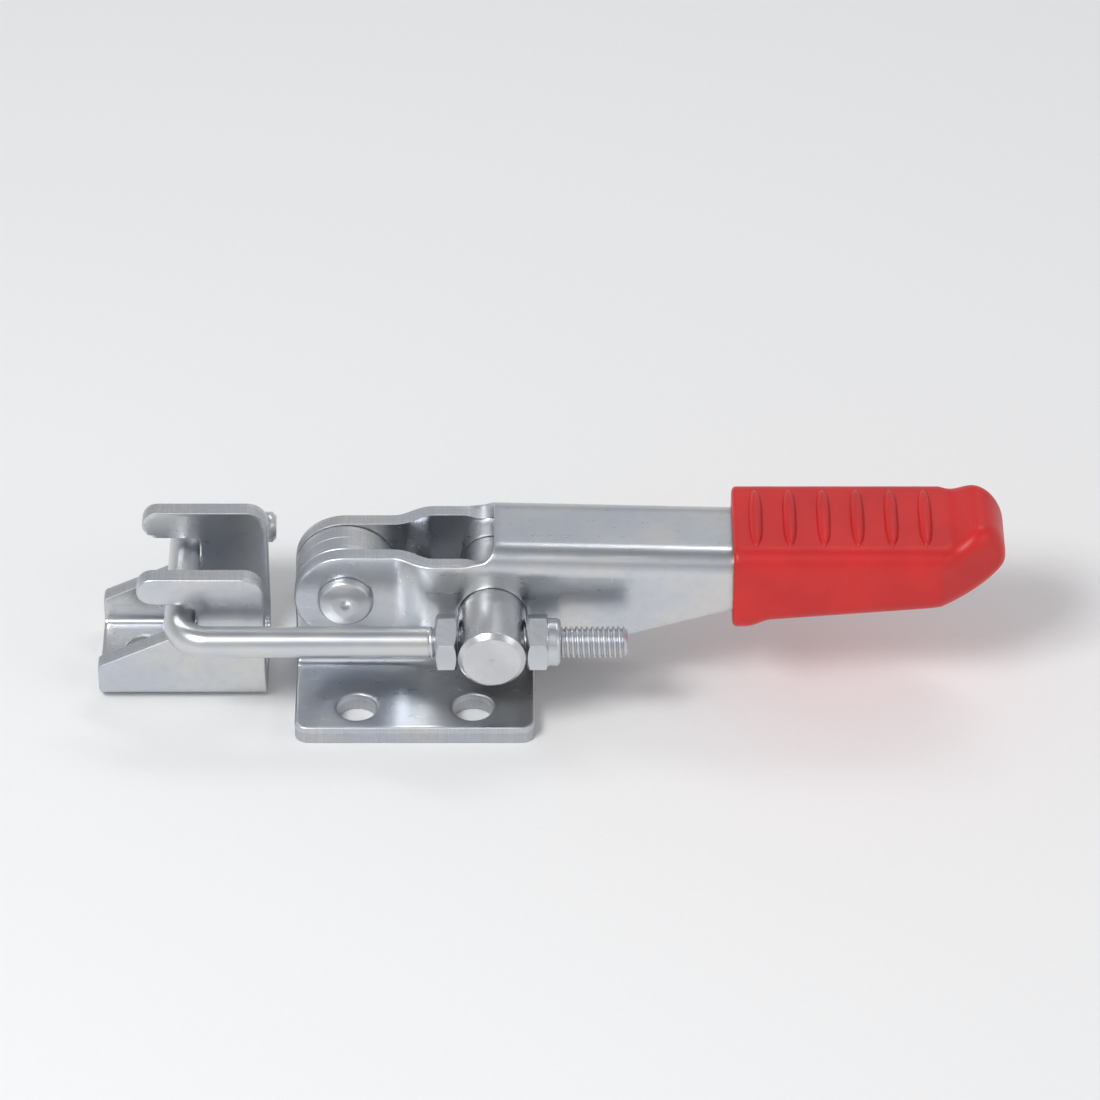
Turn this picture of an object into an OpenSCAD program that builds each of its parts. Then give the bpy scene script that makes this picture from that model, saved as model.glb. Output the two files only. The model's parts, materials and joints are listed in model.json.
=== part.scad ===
// Over centre toggle latch with a J hook, a threaded trunnion and a separate catch.
// Shown latched. X runs along the pull towards the handle, Z stands up from the mounting face,
// and the origin is the centre of the base plate on that face.

/* [Base bracket] */
// Length of the base plate along the pull
base_l = 46.2; // [42:0.1:60]
// Width of the base plate over both halves
base_w = 49; // [46:0.5:70]
// Sheet thickness of the base halves
base_t = 3.7; // [2.5:0.1:4.5]
// Inside bend radius of the base halves
base_bend_r = 2; // [1:0.5:3]
// Corner radius of the base plate
base_corner_r = 2.5; // [1:0.5:6]
// Diameter of the base fixing holes
base_hole_d = 7.7; // [4:0.1:9]
// Spacing of the base holes along the pull
base_pitch_x = 22.4; // [16:0.1:28]
// Spacing of the base holes across the pull
base_pitch_y = 36.1; // [34:0.1:56]
// Run of the uprights' sloped end for each unit of height
seat_lean = 0.415; // [0:0.005:0.6]

/* [Pivot] */
// Height of the lever pivot above the mounting face
pivot_z = 21.4; // [19:0.1:26]
// Radius of the rounded tops of the base halves about the pivot
upright_r = 9.8; // [8:0.1:11]
// Diameter of the pivot rivet
rivet_d = 8; // [5:0.5:10]
// Diameter of the rivet heads
rivet_head_d = 10.8; // [9:0.1:13]
// Height of each rivet head
rivet_head_h = 1.9; // [1:0.1:3]

/* [Lever] */
// Sheet thickness of the lever
lever_t = 3.1; // [2:0.1:3.5]
// Width of the lever over its channel
lever_w = 19.8; // [18:0.1:26]
// Radius of the lever's end about the pivot
lever_end_r = 9.9; // [8:0.1:11]
// Clearance between the base uprights and each lever side
side_gap = 0.2; // [0.1:0.05:0.4]
// Where the joggle starts, from the pivot
joggle_start = 10.1; // [9:0.1:12]
// Length of the joggle along the lever
joggle_l = 5.8; // [4:0.1:8]
// Where the web of the channel starts, from the pivot
web_start = 28.6; // [26:0.1:32]
// Height of the web's upper face above the pivot, where it starts
web_rise = 12.8; // [12:0.1:16]
// Height of the side plates' upper edge above the pivot
side_rise = 9.9; // [9:0.1:11.5]
// Fall of the web from its start to the grip
web_fall = 1.2; // [0:0.1:3]
// Inside radius of the lever's bends, at the web and at the joggle
lever_bend_r = 1.2; // [0.5:0.1:2.5]
// Where the lever's lower edge turns upwards, from the pivot
belly_x = 39.1; // [34:0.1:46]
// Depth of that lowest point below the pivot
belly_drop = 11.5; // [10.5:0.1:13]
// Depth of the lower edge below the pivot where it enters the grip
tail_drop = 0.4; // [0:0.1:1.5]
// Height of the lower edge above the pivot at the tail's end
tail_rise = 3.6; // [2:0.1:4.5]
// Height of the tail's blunt end
tail_end_h = 4.4; // [3:0.1:5]
// Length of grip beyond the tail's end
tail_cover = 9; // [7:0.1:14]

/* [Grip] */
// Distance from the pivot to the grip's open end
grip_start = 74.4; // [66:0.1:90]
// Length of the grip
grip_l = 52.4; // [45:0.1:65]
// Width of the grip
grip_w = 24.8; // [23:0.1:34]
// Height of the grip's flat top above the pivot
grip_top = 14.4; // [13.5:0.1:17]
// Depth of the grip's open end below the pivot
grip_drop = 4.2; // [3:0.1:6]
// Depth of the underside below the pivot, behind the lip of the open end
under_drop = 2.5; // [1.5:0.1:3]
// Rise of the underside for each unit of length
under_slope = 0.09; // [0:0.01:0.12]
// Length of the lip before it starts to rise
lip_flat = 2.3; // [1:0.1:3]
// Length of the lip with its rise
lip_l = 7.5; // [5:0.1:10]
// Radius along the grip's edges
grip_edge_r = 3.6; // [2:0.1:4.5]
// Radius round the rim of the open end
rim_r = 0.8; // [0.4:0.1:1.2]
// Height of the raised nose above the flat top
nose_rise = 2.6; // [1:0.1:4]
// Height of the nose's foremost point above the pivot
nose_mid = 9.2; // [8:0.1:10]
// Length of the rounded nose
nose_l = 5.1; // [4:0.1:7]
// Length over which the top swells up to the nose
swell_l = 6; // [4:0.1:9]
// Length over which the underside turns up to the nose
turn_l = 15.5; // [12:0.1:20]
// Length over which the grip narrows in plan
taper_l = 12.3; // [8:0.1:16]
// How far each side comes in over that length
taper_w = 4.7; // [3:0.1:6]
// Length of the rounded corners at the tip
tip_l = 1.7; // [1:0.1:3]
// Width of the rounded corners at the tip
tip_w = 3.3; // [2:0.1:4]
// Distance from the open end to the first rib
rib_start = 4.4; // [3:0.1:8]
// How deep the ribs' long axes lie under the flat top
rib_sink = 0.1; // [0:0.05:0.5]
// Number of cross ribs on the grip
rib_count = 6; // [3:1:6]
// Distance between the ribs
rib_pitch = 6.5; // [5:0.1:6.8]
// Length of a rib across the grip
rib_l = 18.3; // [12:0.1:19]
// Width of a rib
rib_w = 2.6; // [1.5:0.1:3.5]

/* [Trunnion] */
// Distance from the pivot to the trunnion along the pull
trunnion_reach = 28.3; // [26:0.1:32]
// How far the trunnion lies below the pivot when latched
over_centre = 1.7; // [1:0.1:2.5]
// Diameter of the trunnion
trunnion_d = 13; // [11:0.1:15.5]
// Clearance under the trunnion at its stop on the base
stop_gap = 0.3; // [0.2:0.05:0.6]
// Wall of the trunnion between the rod and its near end
trunnion_wall = 3.2; // [2:0.1:5]
// Diameter of the trunnion's neck in the far side plate
neck_d = 8.5; // [7:0.1:9.5]
// How far the neck stands out of the far side plate
neck_out = 2.9; // [2.4:0.1:4]
// Groove diameter for the retaining clip
groove_d = 6.5; // [5:0.1:6.8]
// Outer diameter of the retaining clip
clip_d = 13; // [12:0.1:15]
// Thickness of the retaining clip
clip_t = 1; // [0.7:0.1:1.2]

/* [Hook] */
// Diameter of the hook rod
rod_d = 6; // [5:0.1:7.2]
// Distance from the middle plane to each leg of the hook
leg_y = 18; // [17.2:0.1:24]
// Distance from the trunnion to the crossbar when latched
hook_reach = 60.1; // [58:0.1:66]
// Bend radius of the rod along its centre
rod_bend_r = 5.5; // [5:0.1:6]
// Length of the short leg past the crossbar's axis
short_leg = 17.6; // [13:0.1:24]
// Length of the rod past the trunnion's axis
rod_tail = 25.9; // [24.5:0.1:32]
// Chamfer at the rod's ends
rod_chamfer = 0.8; // [0.4:0.1:1.2]

/* [Nuts] */
// Width of the nuts across the flats
nut_af = 10; // [9:0.1:11]
// Thickness of the inner nut
inner_nut_h = 4.2; // [3:0.1:5]
// Height of the lock nut's hexagon
lock_nut_h = 4; // [3:0.1:5]
// Height of the lock nut's collar
collar_h = 2.5; // [2:0.1:3]
// Diameter of the lock nut's collar
collar_d = 9.3; // [8.8:0.1:9.8]
// Width of the nylon ring inside the collar
ring_h = 1.8; // [1:0.1:1.8]
// Share of the collar's wall that the nylon ring fills
ring_share = 0.73; // [0.5:0.01:0.8]
// Share of the collar's wall that its lip leaves open
lip_share = 0.3; // [0.1:0.01:0.4]
// Thickness of that lip
collar_lip = 0.5; // [0.3:0.1:0.5]

/* [Catch] */
// Length of the catch along the pull
catch_l = 32.5; // [31:0.1:40]
// Width of the catch
catch_w = 24.5; // [22:0.1:25]
// Sheet thickness of the catch
catch_t = 3.5; // [2.5:0.1:4]
// Inside bend radius of the catch
catch_bend_r = 1.5; // [1:0.5:3]
// Height of the catch
catch_h = 30.1; // [29.5:0.1:34]
// Corner radius of the catch
catch_corner_r = 4; // [2:0.5:6]
// Distance from the crossbar to the catch's upright edge
catch_back = 16.3; // [15.5:0.1:20]
// How far the nose reaches over the crossbar
nose_reach = 8; // [7:0.1:9]
// Height of the ramp's foot
ramp_foot = 8.8; // [6:0.1:10]
// How far in front of the crossbar's axis the ramp ends
ramp_top = 0.5; // [0.2:0.1:1.5]
// Corner radius of the notch that the crossbar sits in
notch_r = 2; // [1:0.1:2.5]
// Diameter of the catch's fixing holes
catch_hole_d = 7.7; // [4:0.1:8]
// Spacing of the catch's fixing holes
catch_pitch = 15.7; // [14:0.1:18]
// Distance from the upright edge to the nearer hole
catch_hole_x = 8.4; // [7:0.1:9]

/* [Clearances] */
// Radial running clearance of pins and threads
running_gap = 0.06; // [0.02:0.01:0.1]
// Radial clearance of the rod in the trunnion
rod_gap = 0.25; // [0.1:0.05:0.4]
// Radial clearance of pieces that are fixed together
fixed_gap = 0.02; // [0.01:0.01:0.05]
// Clearance between the rivet heads and the lever
head_gap = 0.1; // [0.05:0.05:0.2]
// Clearance between the trunnion's shoulder and the far side plate
shoulder_gap = 0.15; // [0.1:0.05:0.3]
// Clearance between the far side plate and the clip's groove
clip_gap = 0.25; // [0.15:0.05:0.4]
// Play of the clip in the width of its groove
groove_play = 0.1; // [0.05:0.05:0.2]
// Clearance between the nuts and the trunnion
nut_gap = 0.15; // [0.05:0.05:0.3]
// Clearance round the crossbar in the catch
catch_gap = 0.3; // [0.2:0.05:0.6]
// Space over the crossbar under the nose, for its lift while the lever opens
lift_gap = 1.3; // [1.2:0.1:1.8]

/* [Hidden] */
$fn = 96;
big = 200;

// Places that follow from the sizes above
pivot_x = upright_r - base_l / 2;
trunnion_x = pivot_x + trunnion_reach;
trunnion_z = pivot_z - over_centre;
cross_x = trunnion_x - hook_reach;
seat_z = trunnion_z - trunnion_d / 2 - stop_gap;
base_bend_out = base_bend_r + base_t;
narrow_in = base_t + side_gap;
narrow_out = narrow_in + lever_t;
wide_out = lever_w / 2;
wide_in = wide_out - lever_t;
lever_bend_out = lever_bend_r + lever_t;
grip_end = grip_start + grip_l;
tail_x = grip_end - tail_cover;
top_tangent = asin(side_rise / lever_end_r);
web_slope = atan(web_fall / (grip_start - web_start));
hex_r = nut_af / 2 / cos(30);
nut_face = trunnion_d / 2 + nut_gap;
lock_nut_x = trunnion_x + nut_face;
ring_x = lock_nut_h + collar_h - collar_lip - ring_h;
ring_d = rod_d + ring_share * (collar_d - rod_d);
clip_y = wide_out + clip_gap;
neck_end = wide_out + neck_out;
catch_x1 = cross_x + catch_back;
catch_x0 = catch_x1 - catch_l;
catch_bend_out = catch_bend_r + catch_t;
notch_low = trunnion_z - rod_d / 2 - catch_gap;
notch_high = trunnion_z + rod_d / 2 + lift_gap;

steel = [0.74, 0.76, 0.79];
bright_steel = [0.82, 0.83, 0.85];
grip_red = [0.70, 0.08, 0.07];
nylon = [0.90, 0.91, 0.88];

// Extrudes an outline drawn in X and Z by a width centred on the middle plane
module across(width) {
    rotate([90, 0, 0])
        linear_extrude(height = width, center = true) children();
}

// Extrudes a cross-section drawn in Y and Z along X
module along(from, length) {
    translate([from, 0, 0])
        rotate([90, 0, 90])
            linear_extrude(height = length) children();
}

// Cylinder along Y between two places
module pin_y(d, y0, y1) {
    translate([0, y0, 0])
        rotate([-90, 0, 0])
            cylinder(d = d, h = y1 - y0);
}

// Cylinder along X between two places
module pin_x(d, x0, x1) {
    translate([x0, 0, 0])
        rotate([0, 90, 0])
            cylinder(d = d, h = x1 - x0);
}

// Quarter of a bent sheet, its outer corner at the origin, bent towards +X and +Y
module bend_2d(r_in, sheet) {
    r_out = r_in + sheet;
    intersection() {
        square(r_out);
        translate([r_out, r_out])
            difference() {
                circle(r = r_out);
                circle(r = r_in);
            }
    }
}

// Side outline of one base half: rounded top about the pivot, low seat, sloped end
module base_outline() {
    seat_start = pivot_x + upright_r;
    seat_end = base_l / 2 - (seat_z - base_t) * seat_lean;
    fillet = 2;
    translate([pivot_x, pivot_z]) circle(r = upright_r);
    difference() {
        polygon([
            [-base_l / 2, 0], [base_l / 2, 0], [base_l / 2, base_t],
            [seat_end, seat_z], [seat_start + fillet, seat_z],
            [seat_start + fillet, seat_z + fillet], [seat_start, seat_z + fillet],
            [seat_start, pivot_z], [-base_l / 2, pivot_z]
        ]);
        translate([seat_start + fillet, seat_z + fillet]) circle(r = fillet);
    }
}

// Plan of the whole base plate
module base_plan() {
    dx = base_l / 2 - base_corner_r;
    dy = base_w / 2 - base_corner_r;
    square([base_l, 2 * dy], center = true);
    square([2 * dx, base_w], center = true);
    for (x = [-dx, dx], y = [-dy, dy])
        translate([x, y]) circle(r = base_corner_r);
}

// One L-shaped half of the base, on the side given by +1 or -1
module base_half(side) {
    top = pivot_z + upright_r + 1;
    difference() {
        intersection() {
            along(-base_l / 2, base_l)
                mirror([side < 0 ? 1 : 0, 0]) {
                    translate([base_bend_out, 0])
                        square([base_w / 2 - base_bend_out, base_t]);
                    translate([0, base_bend_out])
                        square([base_t, top - base_bend_out]);
                    bend_2d(base_bend_r, base_t);
                }
            across(base_w + 2) base_outline();
            linear_extrude(height = top) base_plan();
        }
        for (x = [-1, 1])
            translate([x * base_pitch_x / 2, side * base_pitch_y / 2, -1])
                cylinder(d = base_hole_d, h = base_t + 2);
        translate([pivot_x, 0, pivot_z])
            pin_y(rivet_d + 2 * fixed_gap, -base_w / 2, base_w / 2);
    }
}

module base_front_half() {
    color(steel) base_half(-1);
}

module base_rear_half() {
    color(steel) base_half(1);
}

// Rivet head seen in section: flat top with a rounded rim
module rivet_head() {
    rim = 0.9;
    rotate_extrude()
        union() {
            square([rivet_head_d / 2, rivet_head_h - rim]);
            square([rivet_head_d / 2 - rim, rivet_head_h]);
            translate([rivet_head_d / 2 - rim, rivet_head_h - rim])
                intersection() {
                    circle(r = rim);
                    square(rim);
                }
        }
}

// Rivet through both base halves and both lever sides
module pivot_rivet() {
    head_y = narrow_out + head_gap;
    root = rivet_head_h / 4;
    color(bright_steel)
        translate([pivot_x, 0, pivot_z]) {
            pin_y(rivet_d, -head_y - root, head_y + root);
            for (side = [-1, 1])
                translate([0, side * head_y, 0])
                    rotate([-side * 90, 0, 0]) rivet_head();
        }
}

// Elevation of the lever from its round end to the tip hidden in the grip. Its lower edge
// leaves the round end at a tangent, and its upper edge steps up to the web through a fillet.
module lever_outline() {
    step = web_rise - side_rise;
    over_web = web_rise + 1;
    belly = norm([belly_x, belly_drop]);
    tangent = -atan(belly_drop / belly_x) - acos(lever_end_r / belly);
    translate([pivot_x, pivot_z]) {
        circle(r = lever_end_r);
        polygon([
            [0, 0], lever_end_r * [cos(tangent), sin(tangent)], [belly_x, -belly_drop],
            [grip_start, -tail_drop], [tail_x, tail_rise], [tail_x, tail_rise + tail_end_h],
            [tail_x - tail_end_h, over_web], [web_start, over_web],
            [web_start, side_rise], [lever_end_r * cos(top_tangent), side_rise]
        ]);
        difference() {
            translate([web_start - step, side_rise - 1])
                square([step + 1, step + 1]);
            translate([web_start - step, side_rise + step]) circle(r = step);
        }
    }
}

// Points of a bend of radius r that rounds a corner, between the places before and after it
function bend_at(before, corner, after, r, steps = 5) =
    let (back = (before - corner) / norm(before - corner))
    let (ahead = (after - corner) / norm(after - corner))
    let (half = acos(back * ahead) / 2)
    let (centre = corner + (back + ahead) / norm(back + ahead) * r / sin(half))
    let (first = corner + back * r / tan(half) - centre)
    let (turn = sign(cross(ahead, back)) * (180 - 2 * half))
    [for (k = [0 : steps])
        let (c = cos(turn * k / steps), s = sin(turn * k / steps))
        centre + [c * first[0] - s * first[1], s * first[0] + c * first[1]]];

// Face of one lever side in plan, with the radii of the joggle's two bends
function side_line(narrow, wide, first_r, last_r) =
    let (end = [-lever_end_r - 1, narrow], tail = [grip_end, wide])
    let (first = [joggle_start, narrow], last = [joggle_start + joggle_l, wide])
    [end, each bend_at(end, first, last, first_r), each bend_at(first, last, tail, last_r), tail];

// Plan between that face of both lever sides
module lever_plan(narrow, wide, first_r, last_r) {
    line = side_line(narrow, wide, first_r, last_r);
    polygon([each line, for (k = [len(line) - 1 : -1 : 0]) [line[k][0], -line[k][1]]]);
}

// Channel cross-section about its web's upper face, solid, with rounded upper corners
module channel_2d(half, round_r, depth) {
    translate([-half, -depth])
        square([2 * half, depth - round_r]);
    translate([-half + round_r, -depth])
        square([2 * (half - round_r), depth]);
    for (side = [-1, 1])
        translate([side * (half - round_r), -round_r]) circle(r = round_r);
}

// The channel's solid block along the sloping web, lowered by a depth and widened by a gap
module channel_block(half, round_r, lower) {
    translate([pivot_x + web_start, 0, pivot_z + web_rise - lower])
        rotate([0, web_slope, 0])
            along(-web_start, big) channel_2d(half, round_r, big / 2);
}

// Joggled channel lever with its pivot and trunnion holes
module lever() {
    color(steel)
        difference() {
            intersection() {
                across(big) lever_outline();
                translate([pivot_x, 0, 0])
                    linear_extrude(height = big)
                        lever_plan(narrow_out, wide_out, lever_bend_r, lever_bend_out);
                union() {
                    channel_block(wide_out, lever_bend_out, 0);
                    translate([pivot_x - big, -big / 2, 0])
                        cube([big + web_start - web_rise + side_rise, big, big]);
                }
            }
            intersection() {
                translate([pivot_x, 0, 0])
                    linear_extrude(height = big)
                        lever_plan(narrow_in, wide_in, lever_bend_out, lever_bend_r);
                union() {
                    channel_block(wide_in, lever_bend_r, lever_t);
                    translate([pivot_x - big, -big / 2, 0])
                        cube([big + web_start, big, big]);
                }
            }
            translate([pivot_x, 0, pivot_z])
                pin_y(rivet_d + 2 * running_gap, -wide_out - 1, wide_out + 1);
            translate([trunnion_x, 0, trunnion_z]) {
                pin_y(trunnion_d + 2 * running_gap, -wide_out - 1, wide_in - 1);
                pin_y(neck_d + 2 * running_gap, 0, wide_out + 1);
            }
        }
}

// Smooth step from 0 at x0 to 1 at x1
function ease(x, x0, x1) =
    x < x0 ? 0 : x > x1 ? 1 : (1 - cos(180 * (x - x0) / (x1 - x0))) / 2;

// Quarter of an ellipse that falls from 1 at a start to 0 over a length
function quarter(x, start, length) =
    sqrt(max(0, 1 - pow(max(0, x - start) / length, 2)));

// Upper edge of the grip in elevation, measured from the pivot
function grip_upper(x) =
    let (nose = grip_end - nose_l)
    let (top = grip_top + nose_rise * ease(x, nose - swell_l, nose))
    nose_mid + (top - nose_mid) * quarter(x, nose, nose_l);

// Lower edge of the grip in elevation
function grip_lower(x) =
    let (lip = grip_start + lip_l, rise = ease(x, grip_start + lip_flat, lip))
    let (line = under_slope * (x - lip) - under_drop)
    let (low = line * rise - grip_drop * (1 - rise))
    nose_mid - (nose_mid - low) * quarter(x, grip_end - turn_l, turn_l);

// Half of the grip's width in plan
function grip_half(x) =
    let (start = grip_end - taper_l, tip = grip_end - tip_l)
    let (share = min(1, max(0, x - start) / (tip - start)))
    grip_w / 2 - taper_w * share - tip_w * (1 - quarter(x, tip, tip_l));

// Stations along the grip, closer together where it curves
grip_stations = [
    for (k = [0 : 3]) grip_start + rim_r * k * k / 9,
    for (k = [0 : 6]) grip_start + lip_flat + k * (lip_l - lip_flat) / 6,
    for (k = [0 : 9]) grip_end - turn_l + k * (turn_l - nose_l) / 9,
    for (a = [8 : 9 : 80]) grip_end - nose_l + nose_l * sin(a)
];

// Ring of points round the grip at one station, anticlockwise seen from the handle's end
function grip_ring(x, steps) =
    let (inset = rim_r * (1 - quarter(grip_start + rim_r - x, 0, rim_r)))
    let (top = grip_upper(x) - inset, low = grip_lower(x) + inset)
    let (half = grip_half(x) - inset)
    let (r = min(grip_edge_r, 0.49 * (top - low), 0.98 * half))
    [for (corner = [0 : 3], k = [0 : steps])
        let (a = corner * 90 + k * 90 / steps)
        let (cy = (corner == 0 || corner == 3 ? 1 : -1) * (half - r))
        let (cz = corner < 2 ? top - r : low + r)
        [x, cy + r * cos(a), cz + r * sin(a)]];

// Closed skin over a list of rings with the same number of points
module loft(rings) {
    n = len(rings[0]);
    last = len(rings) - 1;
    polyhedron(
        points = [for (ring = rings, p = ring) p],
        faces = concat(
            [[for (i = [0 : n - 1]) i]],
            [for (j = [0 : last - 1], i = [0 : n - 1])
                [j * n + i, (j + 1) * n + i, (j + 1) * n + (i + 1) % n, j * n + (i + 1) % n]],
            [[for (i = [n - 1 : -1 : 0]) last * n + i]]
        ),
        convexity = 6
    );
}

// Pointed half-round rib across the grip, a revolved circular segment
module rib() {
    half_l = rib_l / 2;
    half_w = rib_w / 2;
    r = (half_l * half_l + half_w * half_w) / (2 * half_w);
    rotate([90, 0, 0])
        rotate_extrude($fn = 32)
            intersection() {
                translate([half_w - r, 0]) circle(r = r, $fn = 360);
                translate([0, -half_l]) square([half_w, rib_l]);
            }
}

// Soft sleeve pushed over the lever's tail, with its ribs
module grip() {
    color(grip_red)
        difference() {
            union() {
                translate([pivot_x, 0, pivot_z])
                    loft([for (x = grip_stations) grip_ring(x, 5)]);
                for (k = [0 : rib_count - 1])
                    translate([
                        pivot_x + grip_start + rib_start + k * rib_pitch,
                        0,
                        pivot_z + grip_top - rib_sink
                    ])
                        rib();
            }
            intersection() {
                across(lever_w + 1) lever_outline();
                channel_block(wide_out, lever_bend_out, 0);
                translate([pivot_x + web_start, -big / 2, 0])
                    cube([big, big, big]);
            }
        }
}

// Turned trunnion: cross-drilled body, neck in the far side plate, groove for the clip
module trunnion() {
    near = -leg_y - rod_d / 2 - trunnion_wall;
    shoulder = wide_in - shoulder_gap;
    chamfer = 1;
    neck_chamfer = 0.6;
    color(bright_steel)
        translate([trunnion_x, 0, trunnion_z])
            difference() {
                union() {
                    pin_y(trunnion_d, near + chamfer, shoulder);
                    translate([0, near, 0])
                        rotate([-90, 0, 0])
                            cylinder(d1 = trunnion_d - 2 * chamfer, d2 = trunnion_d, h = chamfer);
                    pin_y(neck_d, near + chamfer, clip_y);
                    pin_y(groove_d, near + chamfer, neck_end - neck_chamfer);
                    pin_y(neck_d, clip_y + clip_t + groove_play, neck_end - neck_chamfer);
                    translate([0, neck_end - neck_chamfer, 0])
                        rotate([-90, 0, 0])
                            cylinder(d1 = neck_d, d2 = neck_d - 2 * neck_chamfer, h = neck_chamfer);
                }
                translate([0, -leg_y, 0])
                    pin_x(rod_d + 2 * rod_gap, -trunnion_d, trunnion_d);
            }
}

// Spring steel clip in the trunnion's groove, open on one side
module retaining_clip() {
    seat_r = groove_d / 2 + fixed_gap;
    relief_gap = 0.35;
    relief_r = neck_d / 2 + relief_gap;
    lug_w = 2.2;
    lug_angle = 115;
    snap = 0.9;
    mouth = groove_d - snap;
    color(bright_steel)
        translate([trunnion_x, clip_y + groove_play / 2 + clip_t, trunnion_z])
            rotate([90, 0, 0])
                linear_extrude(height = clip_t)
                    difference() {
                        circle(d = clip_d);
                        difference() {
                            circle(r = relief_r);
                            for (a = [0, lug_angle, -lug_angle])
                                rotate(a)
                                    translate([seat_r, -lug_w / 2])
                                        square([relief_r, lug_w]);
                        }
                        circle(r = seat_r);
                        translate([-clip_d, -mouth / 2])
                            square([clip_d, mouth]);
                    }
}

// Bent J hook with chamfered ends
module hook_rod() {
    leg_start = cross_x + rod_bend_r;
    straight = leg_y - rod_bend_r;
    color(bright_steel)
        translate([0, 0, trunnion_z]) {
            translate([cross_x, 0, 0]) pin_y(rod_d, -straight, straight);
            for (side = [-1, 1])
                translate([leg_start, side * straight, 0])
                    mirror([0, side < 0 ? 1 : 0, 0])
                        rotate([0, 0, 90])
                            rotate_extrude(angle = 90)
                                translate([rod_bend_r, 0]) circle(d = rod_d);
            translate([0, -leg_y, 0])
                rod_leg(leg_start, trunnion_x + rod_tail);
            translate([0, leg_y, 0])
                rod_leg(leg_start, cross_x + short_leg);
        }
}

// Straight leg of the hook, chamfered at its free end
module rod_leg(x0, x1) {
    pin_x(rod_d, x0, x1 - rod_chamfer);
    translate([x1 - rod_chamfer, 0, 0])
        rotate([0, 90, 0])
            cylinder(d1 = rod_d, d2 = rod_d - 2 * rod_chamfer, h = rod_chamfer);
}

// Hexagon along X with a corner upwards, its corners chamfered on the faces asked for
module hexagon(height, first, last) {
    face_r = 0.475 * nut_af;
    drop = (hex_r - face_r) * tan(30);
    intersection() {
        rotate([0, 90, 0])
            cylinder(r = hex_r, h = height, $fn = 6);
        union() {
            pin_x(2 * hex_r + 1, first ? drop : 0, last ? height - drop : height);
            if (first)
                rotate([0, 90, 0])
                    cylinder(r1 = face_r, r2 = hex_r, h = drop);
            if (last)
                translate([height - drop, 0, 0])
                    rotate([0, 90, 0])
                        cylinder(r1 = hex_r, r2 = face_r, h = drop);
        }
    }
}

// Thin nut on the hook's side of the trunnion
module inner_nut() {
    color(bright_steel)
        translate([trunnion_x - nut_face - inner_nut_h, -leg_y, trunnion_z])
            difference() {
                hexagon(inner_nut_h, true, true);
                pin_x(rod_d + 2 * running_gap, -1, inner_nut_h + 1);
            }
}

// Solid collar of the lock nut with a rounded shoulder, rooted in the hexagon
module collar() {
    shoulder = 1;
    root = 1;
    r = collar_d / 2;
    rotate([0, 90, 0])
        rotate_extrude()
            union() {
                translate([0, -root]) square([r, root + collar_h - shoulder]);
                translate([0, -root]) square([r - shoulder, root + collar_h]);
                translate([r - shoulder, collar_h - shoulder])
                    intersection() {
                        circle(r = shoulder);
                        square(shoulder);
                    }
            }
}

// Lock nut on the thread's side of the trunnion, hollow for its nylon ring
module lock_nut() {
    color(bright_steel)
        translate([lock_nut_x, -leg_y, trunnion_z])
            difference() {
                union() {
                    hexagon(lock_nut_h, true, false);
                    translate([lock_nut_h, 0, 0]) collar();
                }
                pin_x(rod_d + 2 * running_gap, -1, lock_nut_h + collar_h + 1);
                pin_x(ring_d, ring_x, ring_x + ring_h);
                pin_x(rod_d + lip_share * (collar_d - rod_d), ring_x, lock_nut_h + collar_h + 1);
            }
}

// Nylon ring held in the lock nut's collar
module lock_nut_ring() {
    color(nylon)
        translate([lock_nut_x + ring_x, -leg_y, trunnion_z])
            difference() {
                pin_x(ring_d, 0, ring_h);
                pin_x(rod_d + 2 * running_gap, -1, ring_h + 1);
            }
}

// Side outline of the catch: ramp, hooked nose over the crossbar, rounded back corner
module catch_outline() {
    nose_r = (catch_h - notch_high) / 2;
    nose_x = cross_x - nose_reach + nose_r;
    back = catch_x1 - catch_corner_r;
    difference() {
        union() {
            polygon([
                [catch_x0, 0], [catch_x1, 0], [catch_x1, catch_h - catch_corner_r],
                [back, catch_h], [nose_x, catch_h], [nose_x, notch_high],
                [cross_x, notch_high], [cross_x, notch_low],
                [cross_x - ramp_top, notch_low], [catch_x0, ramp_foot]
            ]);
            translate([back, catch_h - catch_corner_r]) circle(r = catch_corner_r);
            translate([nose_x, catch_h - nose_r]) circle(r = nose_r);
        }
        notch();
    }
}

// Seat of the crossbar: the closed end of the notch, with rounded corners
module notch() {
    start = cross_x - ramp_top;
    end = cross_x + rod_d / 2 + catch_gap;
    height = notch_high - notch_low;
    translate([start, notch_low])
        square([end - notch_r - start, height]);
    translate([start, notch_low + notch_r])
        square([end - start, height - 2 * notch_r]);
    for (z = [notch_low + notch_r, notch_high - notch_r])
        translate([end - notch_r, z]) circle(r = notch_r);
}

// Cross-section of the catch: floor, two bends and two walls
module catch_section() {
    half = catch_w / 2;
    translate([-half + catch_bend_out, 0])
        square([2 * (half - catch_bend_out), catch_t]);
    for (side = [0, 1])
        mirror([side, 0])
            translate([-half, 0]) {
                translate([0, catch_bend_out])
                    square([catch_t, catch_h + 1 - catch_bend_out]);
                bend_2d(catch_bend_r, catch_t);
            }
}

// Channel-shaped catch with two fixing holes in its floor
module catch_bracket() {
    color(steel)
        difference() {
            intersection() {
                along(catch_x0, catch_l) catch_section();
                across(catch_w + 2) catch_outline();
            }
            for (k = [0, 1])
                translate([catch_x1 - catch_hole_x - k * catch_pitch, 0, -1])
                    cylinder(d = catch_hole_d, h = catch_t + 2);
        }
}

base_front_half();
base_rear_half();
pivot_rivet();
lever();
grip();
trunnion();
retaining_clip();
hook_rod();
inner_nut();
lock_nut();
lock_nut_ring();
catch_bracket();
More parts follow.
